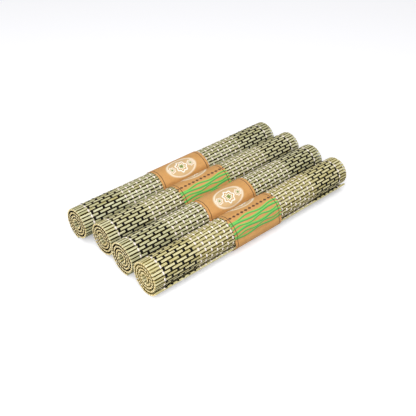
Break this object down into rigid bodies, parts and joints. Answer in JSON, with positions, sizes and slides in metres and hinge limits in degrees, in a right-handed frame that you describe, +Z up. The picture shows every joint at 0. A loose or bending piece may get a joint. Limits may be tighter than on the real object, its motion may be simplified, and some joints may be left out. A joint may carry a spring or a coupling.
{
  "type": "rolled sushi mat set",
  "caption": "Row of rolled bamboo-slat sushi mats woven on cotton yarn, each held by a paper sleeve that slides off its end; the front mat unrolls flat.",
  "frame": {"origin": "on the table under the middle of the row of rolls", "axes": "+X along the rolls, -Y towards the front roll, +Z up"},
  "size_m": [0.2451, 0.1322, 0.033],
  "materials": {
    "bamboo": "matt split bamboo",
    "paper": "matt kraft paper"
  },
  "bodies": {
    "back_mat": {"back_mat_slats": "bamboo"},
    "back_sleeve": {"back_sleeve": "paper"},
    "third_mat": {"third_mat_slats": "bamboo"},
    "third_sleeve": {"third_sleeve": "paper"},
    "second_mat": {"second_mat_slats": "bamboo"},
    "second_sleeve": {"second_sleeve": "paper"},
    "front_sleeve": {"front_sleeve": "paper"},
    "front_panel_01": {"front_mat_panel_01": "bamboo"},
    "front_panel_02": {"front_mat_panel_02": "bamboo"},
    "front_panel_03": {"front_mat_panel_03": "bamboo"},
    "front_panel_04": {"front_mat_panel_04": "bamboo"},
    "front_panel_05": {"front_mat_panel_05": "bamboo"},
    "front_panel_06": {"front_mat_panel_06": "bamboo"},
    "front_panel_07": {"front_mat_panel_07": "bamboo"},
    "front_panel_08": {"front_mat_panel_08": "bamboo"},
    "front_panel_09": {"front_mat_panel_09": "bamboo"},
    "front_panel_10": {"front_mat_panel_10": "bamboo"},
    "front_panel_11": {"front_mat_panel_11": "bamboo"},
    "front_panel_12": {"front_mat_panel_12": "bamboo"},
    "front_panel_13": {"front_mat_panel_13": "bamboo"},
    "front_panel_14": {"front_mat_panel_14": "bamboo"},
    "front_panel_15": {"front_mat_panel_15": "bamboo"},
    "front_panel_16": {"front_mat_panel_16": "bamboo"},
    "front_panel_17": {"front_mat_panel_17": "bamboo"},
    "front_panel_18": {"front_mat_panel_18": "bamboo"},
    "front_panel_19": {"front_mat_panel_19": "bamboo"},
    "front_panel_20": {"front_mat_panel_20": "bamboo"},
    "front_panel_21": {"front_mat_panel_21": "bamboo"},
    "front_panel_22": {"front_mat_panel_22": "bamboo"},
    "front_panel_23": {"front_mat_panel_23": "bamboo"},
    "front_panel_24": {"front_mat_panel_24": "bamboo"},
    "front_panel_25": {"front_mat_panel_25": "bamboo"},
    "front_panel_26": {"front_mat_panel_26": "bamboo"},
    "front_panel_27": {"front_mat_panel_27": "bamboo"},
    "front_panel_28": {"front_mat_panel_28": "bamboo"},
    "front_panel_29": {"front_mat_panel_29": "bamboo"},
    "front_panel_30": {"front_mat_panel_30": "bamboo"},
    "front_panel_31": {"front_mat_panel_31": "bamboo"},
    "front_panel_32": {"front_mat_panel_32": "bamboo"},
    "front_panel_33": {"front_mat_panel_33": "bamboo"},
    "front_panel_34": {"front_mat_panel_34": "bamboo"},
    "front_panel_35": {"front_mat_panel_35": "bamboo"},
    "front_panel_36": {"front_mat_panel_36": "bamboo"},
    "front_panel_37": {"front_mat_panel_37": "bamboo"},
    "front_panel_38": {"front_mat_panel_38": "bamboo"},
    "front_panel_39": {"front_mat_panel_39": "bamboo"},
    "front_panel_40": {"front_mat_panel_40": "bamboo"},
    "front_panel_41": {"front_mat_panel_41": "bamboo"},
    "front_panel_42": {"front_mat_panel_42": "bamboo"},
    "front_panel_43": {"front_mat_panel_43": "bamboo"},
    "front_panel_44": {"front_mat_panel_44": "bamboo"},
    "front_panel_45": {"front_mat_panel_45": "bamboo"},
    "front_panel_46": {"front_mat_panel_46": "bamboo"},
    "front_panel_47": {"front_mat_panel_47": "bamboo"},
    "front_panel_48": {"front_mat_panel_48": "bamboo"},
    "front_panel_49": {"front_mat_panel_49": "bamboo"},
    "front_panel_50": {"front_mat_panel_50": "bamboo"}
  },
  "joints": [
    {"name": "third_mat_lift", "type": "slide", "parent": "back_mat", "child": "third_mat", "axis": [0, 0, 1], "range_m": [0, 0.12]},
    {"name": "second_mat_lift", "type": "slide", "parent": "back_mat", "child": "second_mat", "axis": [0, 0, 1], "range_m": [0, 0.12]},
    {"name": "back_sleeve_slide", "type": "slide", "parent": "back_mat", "child": "back_sleeve", "axis": [-1, 0, 0], "range_m": [0, 0.16]},
    {"name": "third_sleeve_slide", "type": "slide", "parent": "third_mat", "child": "third_sleeve", "axis": [-1, 0, 0], "range_m": [0, 0.16]},
    {"name": "second_sleeve_slide", "type": "slide", "parent": "second_mat", "child": "second_sleeve", "axis": [-1, 0, 0], "range_m": [0, 0.16]},
    {"name": "front_sleeve_slide", "type": "slide", "parent": "back_mat", "child": "front_sleeve", "axis": [-1, 0, 0], "range_m": [0, 0.16]},
    {"name": "front_mat_unroll", "type": "slide", "parent": "back_mat", "child": "front_panel_48", "axis": [0, -1, -0.0037], "range_m": [0, 0.26], "deforming": ["front_sleeve"]},
    {"name": "front_fold_47", "type": "hinge", "parent": "front_panel_48", "child": "front_panel_47", "pos_m": [0, -0.04682, 0.00229], "axis": [-1, 0, 0], "range_deg": [0, 22.13]},
    {"name": "front_fold_46", "type": "hinge", "parent": "front_panel_48", "child": "front_panel_46", "pos_m": [0, -0.04388, 0.00287], "axis": [-1, 0, 0], "range_deg": [0, 44.55]},
    {"name": "front_fold_45", "type": "hinge", "parent": "front_panel_43", "child": "front_panel_45", "pos_m": [0, -0.0344, 0.01692], "axis": [1, 0, 0], "range_deg": [0, 46.36]},
    {"name": "front_fold_44", "type": "hinge", "parent": "front_panel_43", "child": "front_panel_44", "pos_m": [0, -0.03502, 0.01982], "axis": [1, 0, 0], "range_deg": [0, 23.34]},
    {"name": "front_fold_43", "type": "hinge", "parent": "front_panel_48", "child": "front_panel_43", "pos_m": [0, -0.03497, 0.00727], "axis": [-1, 0, 0], "range_deg": [0, 113.63]},
    {"name": "front_fold_42", "type": "hinge", "parent": "front_panel_43", "child": "front_panel_42", "pos_m": [0, -0.03736, 0.02517], "axis": [-1, 0, 0], "range_deg": [0, 23.68]},
    {"name": "front_fold_41", "type": "hinge", "parent": "front_panel_43", "child": "front_panel_41", "pos_m": [0, -0.0391, 0.02761], "axis": [-1, 0, 0], "range_deg": [0, 47.7]},
    {"name": "front_fold_40", "type": "hinge", "parent": "front_panel_38", "child": "front_panel_40", "pos_m": [0, -0.05586, 0.02947], "axis": [1, 0, 0], "range_deg": [0, 49.95]},
    {"name": "front_fold_39", "type": "hinge", "parent": "front_panel_38", "child": "front_panel_39", "pos_m": [0, -0.05803, 0.02745], "axis": [1, 0, 0], "range_deg": [0, 25.18]},
    {"name": "front_fold_38", "type": "hinge", "parent": "front_panel_43", "child": "front_panel_38", "pos_m": [0, -0.04708, 0.03388], "axis": [-1, 0, 0], "range_deg": [0, 122.05]},
    {"name": "front_fold_37", "type": "hinge", "parent": "front_panel_38", "child": "front_panel_37", "pos_m": [0, -0.06132, 0.02262], "axis": [-1, 0, 0], "range_deg": [0, 25.6]},
    {"name": "front_fold_36", "type": "hinge", "parent": "front_panel_38", "child": "front_panel_36", "pos_m": [0, -0.06243, 0.01981], "axis": [-1, 0, 0], "range_deg": [0, 51.64]},
    {"name": "front_fold_35", "type": "hinge", "parent": "front_panel_34", "child": "front_panel_35", "pos_m": [0, -0.05642, 0.00706], "axis": [1, 0, 0], "range_deg": [0, 27]},
    {"name": "front_fold_34", "type": "hinge", "parent": "front_panel_38", "child": "front_panel_34", "pos_m": [0, -0.06339, 0.01326], "axis": [-1, 0, 0], "range_deg": [0, 105.15]},
    {"name": "front_fold_33", "type": "hinge", "parent": "front_panel_34", "child": "front_panel_33", "pos_m": [0, -0.05091, 0.00514], "axis": [-1, 0, 0], "range_deg": [0, 27.53]},
    {"name": "front_fold_32", "type": "hinge", "parent": "front_panel_34", "child": "front_panel_32", "pos_m": [0, -0.04788, 0.00486], "axis": [-1, 0, 0], "range_deg": [0, 55.6]},
    {"name": "front_fold_31", "type": "hinge", "parent": "front_panel_30", "child": "front_panel_31", "pos_m": [0, -0.03797, 0.01476], "axis": [1, 0, 0], "range_deg": [0, 29.3]},
    {"name": "front_fold_30", "type": "hinge", "parent": "front_panel_34", "child": "front_panel_30", "pos_m": [0, -0.0412, 0.00589], "axis": [-1, 0, 0], "range_deg": [0, 113.57]},
    {"name": "front_fold_29", "type": "hinge", "parent": "front_panel_30", "child": "front_panel_29", "pos_m": [0, -0.03842, 0.02058], "axis": [-1, 0, 0], "range_deg": [0, 29.97]},
    {"name": "front_fold_28", "type": "hinge", "parent": "front_panel_30", "child": "front_panel_28", "pos_m": [0, -0.03944, 0.02347], "axis": [-1, 0, 0], "range_deg": [0, 60.66]},
    {"name": "front_fold_27", "type": "hinge", "parent": "front_panel_26", "child": "front_panel_27", "pos_m": [0, -0.05281, 0.0272], "axis": [1, 0, 0], "range_deg": [0, 32.31]},
    {"name": "front_fold_26", "type": "hinge", "parent": "front_panel_30", "child": "front_panel_26", "pos_m": [0, -0.04343, 0.02919], "axis": [-1, 0, 0], "range_deg": [0, 124.44]},
    {"name": "front_fold_25", "type": "hinge", "parent": "front_panel_26", "child": "front_panel_25", "pos_m": [0, -0.05736, 0.02354], "axis": [-1, 0, 0], "range_deg": [0, 33.22]},
    {"name": "front_fold_24", "type": "hinge", "parent": "front_panel_23", "child": "front_panel_24", "pos_m": [0, -0.05753, 0.01237], "axis": [1, 0, 0], "range_deg": [0, 35.3]},
    {"name": "front_fold_23", "type": "hinge", "parent": "front_panel_26", "child": "front_panel_23", "pos_m": [0, -0.06046, 0.01786], "axis": [-1, 0, 0], "range_deg": [0, 102.74]},
    {"name": "front_fold_22", "type": "hinge", "parent": "front_panel_23", "child": "front_panel_22", "pos_m": [0, -0.05295, 0.00875], "axis": [-1, 0, 0], "range_deg": [0, 36.51]},
    {"name": "front_fold_21", "type": "hinge", "parent": "front_panel_20", "child": "front_panel_21", "pos_m": [0, -0.04238, 0.01198], "axis": [1, 0, 0], "range_deg": [0, 39.34]},
    {"name": "front_fold_20", "type": "hinge", "parent": "front_panel_23", "child": "front_panel_20", "pos_m": [0, -0.04652, 0.00719], "axis": [-1, 0, 0], "range_deg": [0, 113.68]},
    {"name": "front_fold_19", "type": "hinge", "parent": "front_panel_20", "child": "front_panel_19", "pos_m": [0, -0.0409, 0.01762], "axis": [-1, 0, 0], "range_deg": [0, 41.03]},
    {"name": "front_fold_18", "type": "hinge", "parent": "front_panel_16", "child": "front_panel_18", "pos_m": [0, -0.04737, 0.02495], "axis": [1, 0, 0], "range_deg": [0, 43.72]},
    {"name": "front_fold_17", "type": "hinge", "parent": "front_panel_16", "child": "front_panel_17", "pos_m": [0, -0.04884, 0.02493], "axis": [1, 0, 0], "range_deg": [0, 22.13]},
    {"name": "front_fold_16", "type": "hinge", "parent": "front_panel_20", "child": "front_panel_16", "pos_m": [0, -0.04215, 0.02355], "axis": [-1, 0, 0], "range_deg": [0, 116.51]},
    {"name": "front_fold_15", "type": "hinge", "parent": "front_panel_16", "child": "front_panel_15", "pos_m": [0, -0.05169, 0.02433], "axis": [-1, 0, 0], "range_deg": [0, 22.71]},
    {"name": "front_fold_14", "type": "hinge", "parent": "front_panel_16", "child": "front_panel_14", "pos_m": [0, -0.05308, 0.02374], "axis": [-1, 0, 0], "range_deg": [0, 46.04]},
    {"name": "front_fold_13", "type": "hinge", "parent": "front_panel_11", "child": "front_panel_13", "pos_m": [0, -0.05596, 0.0158], "axis": [1, 0, 0], "range_deg": [0, 50.34]},
    {"name": "front_fold_12", "type": "hinge", "parent": "front_panel_11", "child": "front_panel_12", "pos_m": [0, -0.05524, 0.01452], "axis": [1, 0, 0], "range_deg": [0, 25.58]},
    {"name": "front_fold_11", "type": "hinge", "parent": "front_panel_16", "child": "front_panel_11", "pos_m": [0, -0.05706, 0.0205], "axis": [-1, 0, 0], "range_deg": [0, 120.4]},
    {"name": "front_fold_10", "type": "hinge", "parent": "front_panel_11", "child": "front_panel_10", "pos_m": [0, -0.05328, 0.01236], "axis": [-1, 0, 0], "range_deg": [0, 26.49]},
    {"name": "front_fold_09", "type": "hinge", "parent": "front_panel_11", "child": "front_panel_09", "pos_m": [0, -0.05202, 0.01149], "axis": [-1, 0, 0], "range_deg": [0, 53.99]},
    {"name": "front_fold_08", "type": "hinge", "parent": "front_panel_07", "child": "front_panel_08", "pos_m": [0, -0.04526, 0.01327], "axis": [1, 0, 0], "range_deg": [0, 29.93]},
    {"name": "front_fold_07", "type": "hinge", "parent": "front_panel_11", "child": "front_panel_07", "pos_m": [0, -0.0488, 0.01028], "axis": [-1, 0, 0], "range_deg": [0, 112.56]},
    {"name": "front_fold_06", "type": "hinge", "parent": "front_panel_07", "child": "front_panel_06", "pos_m": [0, -0.04401, 0.01591], "axis": [-1, 0, 0], "range_deg": [0, 31.42]},
    {"name": "front_fold_05", "type": "hinge", "parent": "front_panel_04", "child": "front_panel_05", "pos_m": [0, -0.04617, 0.02108], "axis": [1, 0, 0], "range_deg": [0, 35.23]},
    {"name": "front_fold_04", "type": "hinge", "parent": "front_panel_07", "child": "front_panel_04", "pos_m": [0, -0.0438, 0.01918], "axis": [-1, 0, 0], "range_deg": [0, 99.81]},
    {"name": "front_fold_03", "type": "hinge", "parent": "front_panel_04", "child": "front_panel_03", "pos_m": [0, -0.04899, 0.02186], "axis": [-1, 0, 0], "range_deg": [0, 37.74]},
    {"name": "front_fold_02", "type": "hinge", "parent": "front_panel_04", "child": "front_panel_02", "pos_m": [0, -0.0506, 0.02176], "axis": [-1, 0, 0], "range_deg": [0, 78.64]},
    {"name": "front_fold_01", "type": "hinge", "parent": "front_panel_04", "child": "front_panel_01", "pos_m": [0, -0.0524, 0.02121], "axis": [-1, 0, 0], "range_deg": [0, 123.66]},
    {"name": "front_fold_49", "type": "hinge", "parent": "front_panel_48", "child": "front_panel_49", "pos_m": [0, -0.05266, 0.00229], "axis": [1, 0, 0], "range_deg": [0, 21.86]},
    {"name": "front_fold_50", "type": "hinge", "parent": "front_panel_48", "child": "front_panel_50", "pos_m": [0, -0.05556, 0.00285], "axis": [1, 0, 0], "range_deg": [0, 43.46]}
  ],
  "couplings": [
    {"joint": "front_fold_47", "follows": "front_mat_unroll", "rad_per_m": 1.4858},
    {"joint": "front_fold_46", "follows": "front_mat_unroll", "rad_per_m": 2.9908},
    {"joint": "front_fold_45", "follows": "front_mat_unroll", "rad_per_m": 3.1124},
    {"joint": "front_fold_44", "follows": "front_mat_unroll", "rad_per_m": 1.5669},
    {"joint": "front_fold_43", "follows": "front_mat_unroll", "rad_per_m": 7.6279},
    {"joint": "front_fold_42", "follows": "front_mat_unroll", "rad_per_m": 1.5894},
    {"joint": "front_fold_41", "follows": "front_mat_unroll", "rad_per_m": 3.2022},
    {"joint": "front_fold_40", "follows": "front_mat_unroll", "rad_per_m": 3.3531},
    {"joint": "front_fold_39", "follows": "front_mat_unroll", "rad_per_m": 1.69},
    {"joint": "front_fold_38", "follows": "front_mat_unroll", "rad_per_m": 8.1927},
    {"joint": "front_fold_37", "follows": "front_mat_unroll", "rad_per_m": 1.7183},
    {"joint": "front_fold_36", "follows": "front_mat_unroll", "rad_per_m": 3.4664},
    {"joint": "front_fold_35", "follows": "front_mat_unroll", "rad_per_m": 1.8126},
    {"joint": "front_fold_34", "follows": "front_mat_unroll", "rad_per_m": 7.0584},
    {"joint": "front_fold_33", "follows": "front_mat_unroll", "rad_per_m": 1.8477},
    {"joint": "front_fold_32", "follows": "front_mat_unroll", "rad_per_m": 3.7327},
    {"joint": "front_fold_31", "follows": "front_mat_unroll", "rad_per_m": 1.9667},
    {"joint": "front_fold_30", "follows": "front_mat_unroll", "rad_per_m": 7.6239},
    {"joint": "front_fold_29", "follows": "front_mat_unroll", "rad_per_m": 2.0119},
    {"joint": "front_fold_28", "follows": "front_mat_unroll", "rad_per_m": 4.0722},
    {"joint": "front_fold_27", "follows": "front_mat_unroll", "rad_per_m": 2.1688},
    {"joint": "front_fold_26", "follows": "front_mat_unroll", "rad_per_m": 8.3535},
    {"joint": "front_fold_25", "follows": "front_mat_unroll", "rad_per_m": 2.23},
    {"joint": "front_fold_24", "follows": "front_mat_unroll", "rad_per_m": 2.3698},
    {"joint": "front_fold_23", "follows": "front_mat_unroll", "rad_per_m": 6.8965},
    {"joint": "front_fold_22", "follows": "front_mat_unroll", "rad_per_m": 2.4505},
    {"joint": "front_fold_21", "follows": "front_mat_unroll", "rad_per_m": 2.6407},
    {"joint": "front_fold_20", "follows": "front_mat_unroll", "rad_per_m": 7.6314},
    {"joint": "front_fold_19", "follows": "front_mat_unroll", "rad_per_m": 2.7543},
    {"joint": "front_fold_18", "follows": "front_mat_unroll", "rad_per_m": 2.9348},
    {"joint": "front_fold_17", "follows": "front_mat_unroll", "rad_per_m": 1.4854},
    {"joint": "front_fold_16", "follows": "front_mat_unroll", "rad_per_m": 7.821},
    {"joint": "front_fold_15", "follows": "front_mat_unroll", "rad_per_m": 1.5243},
    {"joint": "front_fold_14", "follows": "front_mat_unroll", "rad_per_m": 3.0906},
    {"joint": "front_fold_13", "follows": "front_mat_unroll", "rad_per_m": 3.3794},
    {"joint": "front_fold_12", "follows": "front_mat_unroll", "rad_per_m": 1.7172},
    {"joint": "front_fold_11", "follows": "front_mat_unroll", "rad_per_m": 8.0821},
    {"joint": "front_fold_10", "follows": "front_mat_unroll", "rad_per_m": 1.7781},
    {"joint": "front_fold_09", "follows": "front_mat_unroll", "rad_per_m": 3.6242},
    {"joint": "front_fold_08", "follows": "front_mat_unroll", "rad_per_m": 2.0094},
    {"joint": "front_fold_07", "follows": "front_mat_unroll", "rad_per_m": 7.5562},
    {"joint": "front_fold_06", "follows": "front_mat_unroll", "rad_per_m": 2.1094},
    {"joint": "front_fold_05", "follows": "front_mat_unroll", "rad_per_m": 2.3648},
    {"joint": "front_fold_04", "follows": "front_mat_unroll", "rad_per_m": 6.7002},
    {"joint": "front_fold_03", "follows": "front_mat_unroll", "rad_per_m": 2.5335},
    {"joint": "front_fold_02", "follows": "front_mat_unroll", "rad_per_m": 5.2787},
    {"joint": "front_fold_01", "follows": "front_mat_unroll", "rad_per_m": 8.3007},
    {"joint": "front_fold_49", "follows": "front_mat_unroll", "rad_per_m": 1.4675},
    {"joint": "front_fold_50", "follows": "front_mat_unroll", "rad_per_m": 2.9172}
  ]
}
